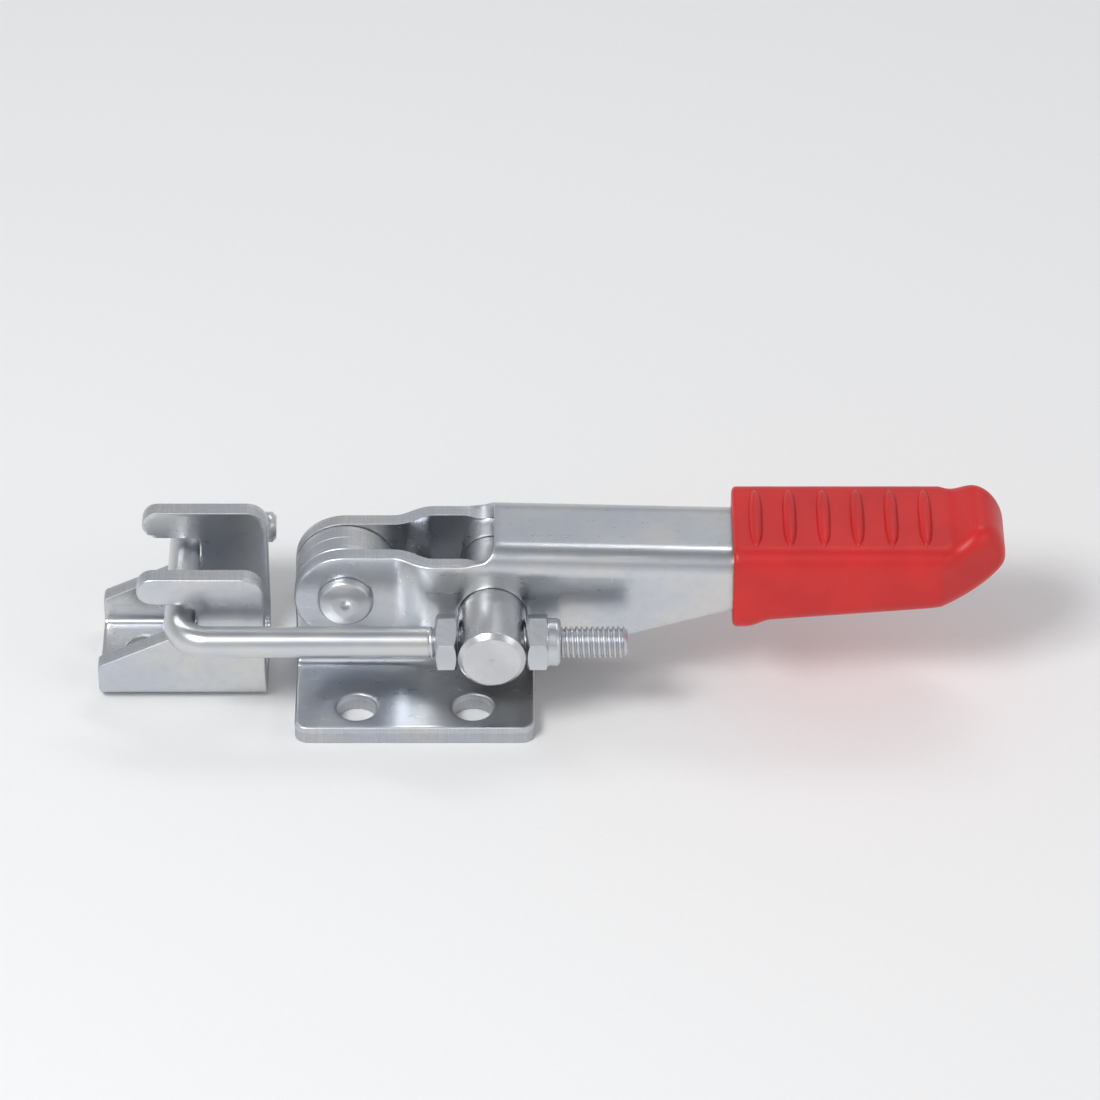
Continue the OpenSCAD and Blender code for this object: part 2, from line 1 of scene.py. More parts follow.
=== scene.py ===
import json
import math
import bmesh
import bpy
import numpy as np
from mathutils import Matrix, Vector
from mathutils.geometry import delaunay_2d_cdt


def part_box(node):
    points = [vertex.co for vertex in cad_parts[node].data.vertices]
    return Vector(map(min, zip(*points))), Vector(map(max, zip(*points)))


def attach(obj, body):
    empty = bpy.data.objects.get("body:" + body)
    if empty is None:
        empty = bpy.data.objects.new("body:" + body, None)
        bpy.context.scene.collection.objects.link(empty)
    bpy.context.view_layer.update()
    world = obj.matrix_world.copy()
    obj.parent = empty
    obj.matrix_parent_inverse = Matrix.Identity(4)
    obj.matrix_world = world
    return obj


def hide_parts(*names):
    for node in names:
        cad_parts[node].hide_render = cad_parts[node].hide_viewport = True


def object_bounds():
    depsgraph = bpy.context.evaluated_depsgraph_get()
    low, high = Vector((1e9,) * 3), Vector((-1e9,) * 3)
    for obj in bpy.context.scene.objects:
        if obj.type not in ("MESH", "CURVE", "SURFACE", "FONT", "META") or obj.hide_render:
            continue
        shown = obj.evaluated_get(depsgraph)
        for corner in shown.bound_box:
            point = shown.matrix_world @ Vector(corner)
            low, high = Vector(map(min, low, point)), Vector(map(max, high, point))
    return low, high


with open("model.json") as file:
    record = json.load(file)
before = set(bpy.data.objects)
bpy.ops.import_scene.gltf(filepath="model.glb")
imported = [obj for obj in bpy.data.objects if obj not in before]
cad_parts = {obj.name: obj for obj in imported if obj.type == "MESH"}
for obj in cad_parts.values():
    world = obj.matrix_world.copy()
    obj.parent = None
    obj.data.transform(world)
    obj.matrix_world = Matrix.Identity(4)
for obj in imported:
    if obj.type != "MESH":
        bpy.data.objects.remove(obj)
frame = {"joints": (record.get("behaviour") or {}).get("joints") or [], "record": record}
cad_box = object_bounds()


# Base: two L-shaped halves, each pressed from 3.7 mm steel sheet with a rounded upright and
# two fixing holes. They stand back to back, held together by the pivot rivet, and are
# bright zinc plated after pressing.

MM = 0.001
joints = {joint["name"]: joint for joint in frame["joints"]}
mounts = {mount["name"]: mount for mount in frame["record"]["mounts"]}
pivot_x, pivot_z = (joints["lever_open"]["pos_m"][k] / MM for k in (0, 2))


def box_mm(node):
    """Lowest and highest corner of a node of the frame, in millimetres."""
    return tuple(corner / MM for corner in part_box(node))


def rounded(corners, closed=True, steps=6):
    """Outline through corners given as x, y and fillet radius."""
    count = len(corners)
    path = []
    for k, (x, y, radius) in enumerate(corners):
        here = np.array([x, y])
        if radius == 0 or (not closed and k in (0, count - 1)):
            path.append(here)
            continue
        to_last = np.array(corners[k - 1][:2]) - here
        to_next = np.array(corners[(k + 1) % count][:2]) - here
        to_last /= np.linalg.norm(to_last)
        to_next /= np.linalg.norm(to_next)
        half = math.acos(np.clip(to_last @ to_next, -1, 1)) / 2
        middle = to_last + to_next
        centre = here + middle / np.linalg.norm(middle) * radius / math.sin(half)
        start = here + to_last * radius / math.tan(half) - centre
        turn = math.pi - 2 * half
        turn = math.copysign(turn, to_next[0] * to_last[1] - to_next[1] * to_last[0])
        for s in range(steps + 1):
            c, d = math.cos(turn * s / steps), math.sin(turn * s / steps)
            path.append(centre + [c * start[0] - d * start[1], d * start[0] + c * start[1]])
    return path


def arc(x, y, radius, start, end, steps=24):
    """Points on a circle, from one angle to another in degrees."""
    angles = np.radians(np.linspace(start, end, steps + 1))
    return [np.array([x + radius * math.cos(a), y + radius * math.sin(a)]) for a in angles]


def circle(x, y, radius, steps=48):
    return arc(x, y, radius, 0, 360, steps)[:-1]


def inside(points, loops):
    """Which points lie inside the outlines, by counting the edges crossed on the way out."""
    odd = np.zeros(len(points), bool)
    for loop in loops:
        ends = np.roll(loop, -1, 0)
        for (x0, y0), (x1, y1) in zip(loop, ends):
            if y0 == y1:
                continue
            over = (points[:, 1] < max(y0, y1)) & (points[:, 1] >= min(y0, y1))
            cross = x0 + (points[:, 1] - y0) * (x1 - x0) / (y1 - y0)
            odd ^= over & (points[:, 0] < cross)
    return odd


def clear_of(points, loops, gap):
    """Which points lie farther than a gap from every outline."""
    far = np.ones(len(points), bool)
    for loop in loops:
        for start, end in zip(loop, np.roll(loop, -1, 0)):
            edge = end - start
            share = np.clip((points - start) @ edge / (edge @ edge), 0, 1)
            far &= np.linalg.norm(points - start - share[:, None] * edge, axis=1) > gap
    return far


def mesh_piece(name, points, faces, sharp=None, **attributes):
    """An object from points in millimetres, with its faces turned outwards and shaded smooth."""
    mesh = bpy.data.meshes.new(name)
    mesh.from_pydata((np.asarray(points) * MM).tolist(), [], faces)
    for label, values in attributes.items():
        values = np.asarray(values, np.float32)
        kind = "FLOAT" if values.ndim == 1 else "FLOAT_VECTOR"
        stored = mesh.attributes.new(label, kind, "POINT")
        stored.data.foreach_set("value" if values.ndim == 1 else "vector", values.ravel())
    whole = bmesh.new()
    whole.from_mesh(mesh)
    bmesh.ops.recalc_face_normals(whole, faces=whole.faces)
    whole.to_mesh(mesh)
    whole.free()
    mesh.shade_smooth()
    if sharp:
        mesh.set_sharp_from_angle(angle=math.radians(sharp))
    piece = bpy.data.objects.new(name, mesh)
    bpy.context.scene.collection.objects.link(piece)
    normals = piece.modifiers.new("normals", "WEIGHTED_NORMAL")
    normals.keep_sharp = True
    return piece


def pressed_sheet(name, outlines, bend, thick, step=0.8, roll=0.45, burr=0.2):
    """A pressed sheet. Its outlines are drawn flat, the outer one first, and bend(u, v, w)
    takes them to their place, w being the height over the sheet's middle. The cut edge is
    rounded more on the side the punch came from."""
    loops, inward, run = [], [], []
    for k, outline in enumerate(outlines):
        loop = []
        for start, end in zip(outline, outline[1:] + outline[:1]):
            parts = max(1, math.ceil(np.linalg.norm(end - start) / step))
            loop += [start + (end - start) * s / parts for s in range(parts)]
        loop = np.array(loop)
        after = np.roll(loop, -1, 0)
        if ((loop[:, 0] * after[:, 1] - loop[:, 1] * after[:, 0]).sum() > 0) != (k == 0):
            loop = loop[::-1]
        ahead = np.roll(loop, -1, 0) - loop
        length = np.linalg.norm(ahead, axis=1)
        ahead /= length[:, None]
        left = np.stack([-ahead[:, 1], ahead[:, 0]], 1)
        both = left + np.roll(left, 1, 0)
        both /= np.maximum(0.5, 1 + (left * np.roll(left, 1, 0)).sum(1))[:, None]
        loops.append(loop)
        inward.append(both)
        run.append(np.concatenate([[0], length.cumsum()[:-1]]))

    edge, into, run = np.concatenate(loops), np.concatenate(inward), np.concatenate(run)
    starts = np.cumsum([0] + [len(loop) for loop in loops])
    after = np.concatenate([
        starts[k] + np.roll(np.arange(len(loop)), -1) for k, loop in enumerate(loops)
    ])
    low, high = edge.min(0), edge.max(0)
    lines = [np.linspace(low[k], high[k], int((high[k] - low[k]) / step) + 2)[1:-1] for k in (0, 1)]
    grid = np.stack(np.meshgrid(*lines), -1).reshape(-1, 2)
    grid = grid[inside(grid, loops)]
    grid = grid[clear_of(grid, loops, roll + 0.4 * step)]

    rim = [(roll * (1 - math.sin(a)), thick / 2 - roll * (1 - math.cos(a)))
           for a in np.radians([0, 30, 60, 90])]
    rim += [(burr * (1 - math.sin(a)), burr * (1 - math.cos(a)) - thick / 2)
            for a in np.radians([90, 45, 0])]
    flat = np.concatenate([edge + rim[0][0] * into, grid])
    ties = [(i, int(after[i])) for i in range(len(edge))]
    closest = 1e-7
    made = delaunay_2d_cdt([Vector(p) for p in flat.tolist()], ties, [], 0, closest)
    source = [origins[0] for origins in made[3]]
    triangles = np.array([[source[i] for i in face] for face in made[2]])
    corner = flat[triangles]
    sides = corner[:, 1:] - corner[:, :1]
    area = abs(sides[:, 0, 0] * sides[:, 1, 1] - sides[:, 0, 1] * sides[:, 1, 0]) / 2
    least = 1e-6
    triangles = triangles[(area > least) & inside(corner.mean(1), [
        flat[starts[k]:starts[k + 1]] for k in range(len(loops))
    ])]

    count = len(flat)
    rows = [np.column_stack([flat, np.full(count, thick / 2)])]
    rows += [np.column_stack([edge + inset * into, np.full(len(edge), w)]) for inset, w in rim[1:]]
    rows.append(np.column_stack([grid, np.full(len(grid), -thick / 2)]))
    rings = [np.arange(len(edge))]
    rings += [count + k * len(edge) + np.arange(len(edge)) for k in range(len(rim) - 1)]
    under = np.concatenate([rings[-1], rings[-1][-1] + 1 + np.arange(len(grid))])
    faces = triangles.tolist() + under[triangles[:, ::-1]].tolist()
    for upper, lower in zip(rings, rings[1:]):
        quads = np.column_stack([upper, lower, lower[after], upper[after]])
        faces += quads.tolist()
    spots = np.concatenate(rows)
    cut = np.zeros(len(spots))
    cut[rings[1][0]:rings[-2][-1] + 1] = 1
    along = np.zeros(len(spots))
    for ring in rings:
        along[ring] = run
    depth = 0.5 - spots[:, 2] / thick
    return mesh_piece(name, bend(*spots.T), faces, cut=cut, run=along, depth=depth)


class Wire:
    """An output socket in a material's node tree. Arithmetic on it adds Math nodes."""

    def __init__(self, tree, socket=None):
        self.tree = tree
        self.socket = socket

    def node(self, kind, settings=None, values=None, output=0):
        """Adds any other node: its settings first, then its sockets' values and links."""
        made = self.tree.nodes.new("ShaderNode" + kind)
        for label, value in (settings or {}).items():
            if label != "stops":
                setattr(made, label, value)
                continue
            stops = made.color_ramp.elements
            while len(stops) < len(value):
                stops.new(0.5)
            for stop, (place, colour) in zip(stops, value):
                stop.position = place
                stop.color = (*colour, 1) if len(colour) == 3 else colour
        for label, value in (values or {}).items():
            if isinstance(value, Wire):
                self.tree.links.new(value.socket, made.inputs[label])
            else:
                made.inputs[label].default_value = value
        return Wire(self.tree, made.outputs[output] if len(made.outputs) else None)

    def sum(self, operation, *terms):
        return self.node("Math", {"operation": operation}, dict(enumerate(terms)))

    def __add__(self, other):
        return self.sum("ADD", self, other)

    def __sub__(self, other):
        return self.sum("SUBTRACT", self, other)

    def __rsub__(self, other):
        return self.sum("SUBTRACT", other, self)

    def __mul__(self, other):
        return self.sum("MULTIPLY", self, other)

    __radd__ = __add__
    __rmul__ = __mul__


def new_finish(name):
    """An empty material and the wire that its nodes start from."""
    finish = bpy.data.materials.new(name)
    finish.use_nodes = True
    finish.node_tree.nodes.clear()
    return finish, Wire(finish.node_tree)


def noise(place, stretch, detail=3.0, rough=0.5, bend=0.0):
    """Noise whose cells are stretched, given as cells to a metre along X, Y and Z."""
    spot = place.node("Mapping", {}, {"Vector": place, "Scale": stretch})
    return place.node("TexNoise", {}, {
        "Vector": spot, "Scale": 1.0, "Detail": detail, "Roughness": rough, "Distortion": bend
    })


def band(value, start, end):
    """0 below the start, 1 above the end, and a smooth step between."""
    return value.node("MapRange", {"interpolation_type": "SMOOTHSTEP"}, {
        "Value": value, "From Min": start, "From Max": end
    })


def tint(share, first, second):
    """Mixes two colours, each a wire or a list of three numbers. The Mix node's sockets go by
    number, because several of them have the same name."""
    factor, colour_a, colour_b, mixed = 0, 6, 7, 2
    values = {factor: share}
    for socket, colour in ((colour_a, first), (colour_b, second)):
        values[socket] = colour if isinstance(colour, Wire) else (*colour, 1)
    return share.node("Mix", {"data_type": "RGBA", "blend_type": "MIX"}, values, output=mixed)


def stored(start, label, output="Fac"):
    """What the mesh stores under a name at each of its points."""
    return start.node("Attribute", {"attribute_name": label}, output=output)


def surface(start, colour, rough, height, relief, strength=0.5, **fixed):
    """Ends a finish with its shader and its bump, whose relief is a depth in metres."""
    bump = start.node("Bump", {}, {"Strength": strength, "Distance": relief, "Height": height})
    shader = start.node("BsdfPrincipled", {}, {
        "Base Color": colour, "Roughness": rough, "Normal": bump, **fixed
    })
    start.node("OutputMaterial", {}, {"Surface": shader})


def plated_sheet(name, shift, thick):
    """Bright zinc plate on pressed sheet that was rolled along X. A cut edge has a smooth
    band with streaks where the punch went in, and the rest of its height is a rough and
    duller break."""
    finish, start = new_finish(name)
    at = start.node("TexCoord", output="Object")
    at = start.node("VectorMath", {"operation": "ADD"}, {0: at, 1: (shift, shift, 0)})
    clouds = noise(at, (70, 70, 70), detail=2)
    spangle = noise(at, (420, 420, 420), detail=3)
    streaks = noise(at, (45, 1600, 1600), detail=1)
    rubbed = band(noise(at, (110, 2400, 2400), detail=1), 0.62, 0.80)
    grit = noise(at, (5200, 5200, 5200), detail=2)

    cut, run, depth = (stored(start, label) for label in ("cut", "run", "depth"))
    edge = start.node("CombineXYZ", {}, {"X": run, "Y": depth * thick, "Z": shift})
    tears = noise(edge, (3.2, 0.12, 1), detail=4, rough=0.65)
    wander = noise(edge, (0.5, 0, 1), detail=3)
    broken = cut * band(depth + 0.22 * wander, 0.42, 0.50)
    crumbs = noise(edge, (4.5, 3.0, 1), detail=4, rough=0.7)

    plate = tint(band(clouds, 0.36, 0.66), (0.60, 0.63, 0.68), (0.68, 0.68, 0.67))
    plate = tint(band(spangle, 0.45, 0.75) * 0.35, plate, (0.52, 0.55, 0.61))
    plate = tint(cut * band(tears, 0.35, 0.7) * 0.4, plate, (0.46, 0.47, 0.50))
    plate = tint(broken * band(crumbs, 0.25, 0.75) * 0.7, plate, (0.40, 0.41, 0.43))
    rough = 0.21 + 0.09 * spangle + 0.08 * streaks + 0.08 * rubbed
    rough = rough + cut * (0.05 + 0.08 * tears) + broken * (0.10 + 0.10 * crumbs)
    height = 0.4 * streaks + 0.06 * grit
    height = height + cut * (2.2 * tears) + broken * (3.5 * crumbs - 2.0)
    surface(start, plate, rough, height, relief=0.00001, strength=0.55, Metallic=1.0)
    return finish


base_t = 3.7
base_bend_r = 2
base_bend_mid = base_bend_r + base_t / 2
base_bend_out = base_bend_r + base_t
base_corner_r = 2.5
rivet_hole_r = 4.02
base_low, base_high = box_mm("base_front_half")
base_half_l = base_high.x
base_half_w = -base_low.y
base_bolts = mounts["base_bolts"]["dims"]
upright_r = base_high.z - pivot_z
base_arc_l = math.pi / 2 * base_bend_mid
seat_z = 12.9
seat_end_x = 19.3


def base_v(z):
    """Distance from the floor's end of the bend to a height on the upright."""
    return base_arc_l + z - base_bend_out


def base_bend(side):
    def place(u, v, w):
        turn = np.clip(v / base_bend_mid, 0, math.pi / 2)
        past = v - np.clip(v, 0, base_arc_l)
        y = base_bend_out - (base_bend_mid - w) * np.sin(turn) - np.minimum(past, 0)
        z = base_bend_out - (base_bend_mid - w) * np.cos(turn) + np.maximum(past, 0)
        return np.column_stack([u, side * y, z])
    return place


floor_end = base_bend_out - base_half_w
seat_x = pivot_x + upright_r
base_outline = rounded([
    (-base_half_l, floor_end, base_corner_r),
    (base_half_l, floor_end, base_corner_r),
    (base_half_l, base_arc_l / 2, 1.5),
    (seat_end_x, base_v(seat_z), 0.8),
    (seat_x, base_v(seat_z), 2),
    (seat_x, base_v(pivot_z), 0),
], closed=False)
base_outline[0:1] = rounded([
    (-base_half_l, base_v(pivot_z), 0), (-base_half_l, floor_end, base_corner_r),
    (0, floor_end, 0)
], closed=False)[1:-1]
base_outline += arc(pivot_x, base_v(pivot_z), upright_r, 0, 180, 32)[1:]
base_holes = [
    circle(x * base_bolts["spacing_x_mm"] / 2, base_bend_out - base_bolts["spacing_y_mm"] / 2,
           base_bolts["hole_r_mm"])
    for x in (-1, 1)
]
base_holes.append(circle(pivot_x, base_v(pivot_z), rivet_hole_r))
base_finish = plated_sheet("zinc_base", shift=0.0, thick=base_t)
for node, side in (("base_front_half", -1), ("base_rear_half", 1)):
    piece = pressed_sheet(node + "_sheet", [base_outline] + base_holes, base_bend(side), base_t)
    piece.data.materials.append(base_finish)
    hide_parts(node)
    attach(piece, "root")


# Pivot rivet: a solid steel rivet through both base halves and the lever's side plates. Its
# heads are formed by an orbiting punch, which leaves a low dome with a dimple, and it is
# zinc plated.


def turned(name, profile, centre, sides=96, sharp=30, axis="Y"):
    """A turned piece from its profile, given as radius and place along the axis."""
    angles = np.linspace(0, 2 * math.pi, sides, endpoint=False)
    points, faces, rings = [], [], []
    for radius, along in profile:
        if radius == 0:
            rings.append([len(points)] * sides)
            points.append((0, along, 0))
            continue
        rings.append(list(range(len(points), len(points) + sides)))
        points += [(radius * math.cos(a), along, radius * math.sin(a)) for a in angles]
    for upper, lower in zip(rings, rings[1:]):
        for i in range(sides):
            k = (i + 1) % sides
            corners = list(dict.fromkeys([upper[i], lower[i], lower[k], upper[k]]))
            if len(corners) > 2:
                faces.append(corners)
    points = np.array(points)
    if axis == "X":
        points = points[:, [1, 0, 2]]
    return mesh_piece(name, points + np.array(centre), faces, sharp=sharp)


def turned_steel(name, centre, axis_x=False, colour=(0.68, 0.69, 0.71), rough=0.24, ring=7000,
                 uneven=0.0):
    """Bright plated turned steel: fine rings round the axis on every face of the piece, which
    may also be a little uneven."""
    finish, start = new_finish(name)
    at = start.node("TexCoord", output="Object")
    out = start.node("VectorMath", {"operation": "SUBTRACT"}, {
        0: at, 1: tuple(value * MM for value in centre)
    })
    sockets = start.node("SeparateXYZ", {}, {"Vector": out}).socket.node.outputs
    x, y, z = (Wire(start.tree, sockets[k]) for k in ("YXZ" if axis_x else "XYZ"))
    radius = start.sum("SQRT", x * x + z * z)
    rings = start.node("CombineXYZ", {}, {"X": radius, "Y": y, "Z": 0.0})
    marks = noise(rings, (ring, ring, 1), detail=3, rough=0.7)
    clouds = noise(at, (160, 160, 160), detail=3)
    grit = noise(at, (6000, 6000, 6000), detail=1)
    plate = tint(band(clouds, 0.35, 0.68), colour, tuple(0.9 * c for c in colour))
    dents = noise(at, (750, 750, 750), detail=2)
    rough = rough + 0.1 * clouds + 0.08 * marks
    height = marks + 0.3 * grit + uneven * dents
    surface(start, plate, rough, height, relief=0.000006, Metallic=1.0)
    return finish


rivet_high = box_mm("pivot_rivet")[1]
rivet_end = rivet_high.y
head_r = rivet_high.x - pivot_x
head_t = 1.9
head_foot = rivet_end - head_t
shank_r = 4.0
rivet_half = [(0, rivet_end - 0.30), (0.45, rivet_end - 0.24), (0.85, rivet_end - 0.08)]
rivet_half += [tuple(p) for p in rounded([
    (1.2, rivet_end, 0), (2.6, rivet_end - 0.02, 3), (head_r - 0.5, rivet_end - 0.25, 0.7),
    (head_r, head_foot + 0.7, 0.5), (head_r, head_foot, 0.18), (shank_r, head_foot, 0)
], closed=False)]
rivet_profile = rivet_half + [(r, -y) for r, y in reversed(rivet_half)]
rivet = turned("pivot_rivet_turned", rivet_profile, (pivot_x, 0, pivot_z))
rivet.data.materials.append(turned_steel("zinc_rivet", (pivot_x, 0, pivot_z), rough=0.27))
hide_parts("pivot_rivet")
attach(rivet, "root")


# Lever: one blank of 3.1 mm sheet, pressed into a channel whose side plates are joggled
# in to the pivot. Its web starts behind the trunnion, and its tail is hidden in the grip.
# The holes were punched before it was bent, and it is bright zinc plated.

lever_t = 3.1
lever_bend_r = 1.2
lever_bend_out = lever_bend_r + lever_t
lever_bend_mid = lever_bend_out - lever_t / 2
lever_half_w = box_mm("lever")[1].y
lever_flat = lever_half_w - lever_bend_out
lever_arc_l = math.pi / 2 * lever_bend_mid
joggle_in = 2.9
joggle_x = (pivot_x + 9.4, pivot_x + 16.8)
web_x = pivot_x + 28.6
web_z = pivot_z + 12.8
web_fall = 1.2 / 45.8
belly = (pivot_x + 39.1, pivot_z - 11.5)
curl_from, curl_to = web_x - 6, web_x - 2.5
grip_x = box_mm("grip")[0].x
tail_x = box_mm("lever")[1].x
tail_web_x = tail_x - 4.4
grip_belly_z, tail_low, tail_high = pivot_z - 0.4, pivot_z + 3.6, pivot_z + 8
pivot_hole_r, pin_hole_r, neck_hole_r = 4.06, 6.56, 4.31
lever_r = pivot_x - box_mm("lever")[0].x
trunnion_x, trunnion_z = (joints["trunnion_swing"]["pos_m"][k] / MM for k in (0, 2))


def web_height(x):
    return web_z - web_fall * np.maximum(0, x - web_x)


def lever_v(x, z):
    """Distance over the bent blank, from the web's middle line to a place on a side plate."""
    return lever_flat + lever_arc_l + web_height(x) - lever_bend_out - z


def smooth(x, start, end):
    share = np.clip((x - start) / (end - start), 0, 1)
    return share * share * (3 - 2 * share)


def lever_bend(u, v, w):
    """Bends the blank round the web, leaves the side plates upright in front of it, and
    moves them in over the joggle."""
    out = np.abs(v)
    turn = np.clip((out - lever_flat) / lever_bend_mid, 0, math.pi / 2)
    past = out - lever_flat - lever_arc_l
    foot = web_height(u) - lever_bend_out
    y = np.minimum(out, lever_flat) + (lever_bend_mid + w) * np.sin(turn)
    z = foot + (lever_bend_mid + w) * np.cos(turn) - np.maximum(past, 0)
    curled = smooth(u, curl_from, curl_to)
    y = curled * y + (1 - curled) * (lever_flat + lever_bend_mid + w)
    z = curled * z + (1 - curled) * (foot - past)
    span = joggle_x[1] - joggle_x[0]
    share = np.clip((u - joggle_x[0]) / span, 0, 1)
    slope = np.arctan(joggle_in / span * math.pi / 2 * np.sin(math.pi * share))
    y = y - joggle_in * (1 + np.cos(math.pi * share)) / 2 - w * (1 - np.cos(slope))
    return np.column_stack([u - w * np.sin(slope), np.sign(v) * y, z])


side_top = lever_v(pivot_x, pivot_z + lever_r)
belly_v = lever_v(*belly)
pivot_v = lever_v(pivot_x, pivot_z)
belly_angle = math.atan2(belly_v - pivot_v, belly[0] - pivot_x)
belly_far = math.hypot(belly_v - pivot_v, belly[0] - pivot_x)
tangent = math.degrees(belly_angle + math.acos(lever_r / belly_far))
step_r = web_z - pivot_z - lever_r
lever_half = [np.array([web_x, 0])]
lever_half += arc(web_x - step_r, side_top - step_r, step_r, 0, 90, 10)
lever_half += arc(pivot_x, pivot_v, lever_r, -90, tangent - 360, 48)
lever_half += rounded([
    (pivot_x, pivot_v + lever_r, 0), (belly[0], belly_v, 2.5),
    (grip_x, lever_v(grip_x, grip_belly_z), 0), (tail_x, lever_v(tail_x, tail_low), 0),
    (tail_x, lever_v(tail_x, tail_high), 1), (tail_web_x, lever_flat, 1), (tail_web_x, 0, 0)
], closed=False)[1:]
lever_outline = lever_half + [point * [1, -1] for point in lever_half[-2:0:-1]]
trunnion_v = lever_v(trunnion_x, trunnion_z)
lever_holes = [circle(pivot_x, side * pivot_v, pivot_hole_r) for side in (-1, 1)]
lever_holes.append(circle(trunnion_x, -trunnion_v, pin_hole_r, 72))
lever_holes.append(circle(trunnion_x, trunnion_v, neck_hole_r))
lever = pressed_sheet("lever_channel", [lever_outline] + lever_holes, lever_bend, lever_t)
lever.data.materials.append(plated_sheet("zinc_lever", shift=0.3, thick=lever_t))
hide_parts("lever")
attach(lever, "lever_arm")


# Grip: a soft plastic sleeve, moulded in red with six cross ribs on its top, a lip round
# its open end and a turned-up nose. It is pushed over the lever's tail while warm and holds
# by its own squeeze.

grip_high = box_mm("grip")[1]
grip_end = grip_high.x
grip_half_w = grip_high.y
grip_top = pivot_z + 14.4
nose_top = grip_high.z
nose_l, swell_l, turn_l, taper_l, tip_l = 5.1, 6.0, 15.5, 12.3, 1.7
nose_mid = pivot_z + 9.2
lip_l, lip_flat_l, lip_low = 7.5, 2.3, pivot_z - 4.2
palm_low, palm_rise = pivot_z - 2.5, 0.09
tip_in, tip_round = 4.7, 3.3
rim_r = 0.8
edge_r = 3.6


def ease(x, start, end):
    return (1 - np.cos(math.pi * np.clip((x - start) / (end - start), 0, 1))) / 2


def quarter(x, start, length):
    """Quarter of an ellipse that falls from 1 at a start to 0 over a length."""
    return np.sqrt(np.clip(1 - (np.maximum(0, x - start) / length) ** 2, 0, 1))


def grip_section(x):
    """Top, bottom and half width of the sleeve at a place along it."""
    nose = grip_end - nose_l
    top = grip_top + (nose_top - grip_top) * ease(x, nose - swell_l, nose)
    top = nose_mid + (top - nose_mid) * quarter(x, nose, nose_l)
    lip = grip_x + lip_l
    rise = ease(x, grip_x + lip_flat_l, lip)
    low = (palm_low + palm_rise * (x - lip)) * rise + lip_low * (1 - rise)
    low = nose_mid - (nose_mid - low) * quarter(x, grip_end - turn_l, turn_l)
    tip = grip_end - tip_l
    share = np.clip((x - grip_end + taper_l) / (taper_l - tip_l), 0, 1)
    half = grip_half_w - tip_in * share - tip_round * (1 - quarter(x, tip, tip_l))
    return top, low, half


def ring_round(x, top, low, half, radius, corner=9):
    """Points round a rounded rectangle across the handle, and how far each is turned from
    the top towards the sides. They start at one side's upper corner."""
    radius = min(radius, 0.49 * (top - low), 0.95 * half)
    points, turned_by = [], []
    corners = [(1, 1, 0), (-1, 1, 90), (-1, -1, 180), (1, -1, 270)]
    top_gaps, side_gaps, under_gaps = 110, 14, 40
    gaps = [top_gaps, side_gaps, under_gaps, side_gaps]
    for k, (sy, sz, angle) in enumerate(corners):
        centre = sy * (half - radius), top - radius if sz > 0 else low + radius
        bent = arc(*centre, radius, angle, angle + 90, corner)
        sy, sz, angle = corners[(k + 1) % 4]
        centre = sy * (half - radius), top - radius if sz > 0 else low + radius
        ahead = arc(*centre, radius, angle, angle, 1)[0]
        straight = [bent[-1] + (ahead - bent[-1]) * s / gaps[k] for s in range(1, gaps[k])]
        shares = {0: np.linspace(1, 0, corner + 1), 1: np.linspace(0, 1, corner + 1)}
        points += bent + straight
        turned_by += list(shares.get(k, np.ones(corner + 1)))
        turned_by += [0.0 if k == 0 else 1.0] * len(straight)
    return np.array([(x, y, z) for y, z in points]), np.array(turned_by)


rib_count, rib_pitch, rib_start = 6, 6.5, 4.4
rib_half_l, rib_half_w, rib_sink = 8.75, 1.3, 0.1
rib_fullness = 3.0
rib_places = [grip_x + rib_start + k * rib_pitch for k in range(rib_count)]


def rib_reach(y):
    """Half width of a rib at a distance from the middle of the grip. Its sides are almost
    parallel, and its ends are blunt."""
    return rib_half_w * np.sqrt(1 - np.minimum(1, abs(y) / rib_half_l) ** rib_fullness)


def along_grip():
    """Places of the rings: close at the rim, on both sides of each rib's outline, and round
    the nose. The places at a rib are shares of its half width."""
    over = [0, 0.2, 0.4, 0.58, 0.72, 0.83, 0.91, 0.96, 0.99, 1.02, 1.07, 1.15]
    over = [-share for share in over[:0:-1]] + over
    places = [grip_x + rim_r * (1 - math.cos(math.radians(a))) for a in range(0, 91, 15)]
    for middle_x in rib_places:
        places += list(np.linspace(places[-1], middle_x + over[0] * rib_half_w, 6)[1:-1])
        places += [middle_x + share * rib_half_w for share in over]
    places += list(np.linspace(places[-1], grip_end - nose_l, 34)[1:])
    places += [grip_end - nose_l + nose_l * math.sin(math.radians(a)) for a in range(4, 89, 4)]
    cap_gap = 0.0005
    return places + [grip_end - cap_gap]


def drawn_to_ribs(x, y, turned_by):
    """Moves a ring's places on the top along the handle, so that they follow the ribs'
    curved outlines. The closest the rings come at a rib's tip is a small half width."""
    closest = 0.12
    nearest = np.clip(np.round((x - rib_places[0]) / rib_pitch), 0, rib_count - 1)
    off = x - rib_places[0] - nearest * rib_pitch
    here = np.maximum(rib_reach(y), closest)
    here = here + (rib_half_w - here) * turned_by ** 2
    drawn = np.interp(abs(off), (0, rib_half_w, rib_pitch / 2), (0, 1, 2))
    moved = np.where(drawn <= 1, here * drawn, here + (rib_pitch / 2 - here) * (drawn - 1))
    return x + np.where(abs(off) < rib_pitch / 2, np.copysign(moved, off) - off, 0)


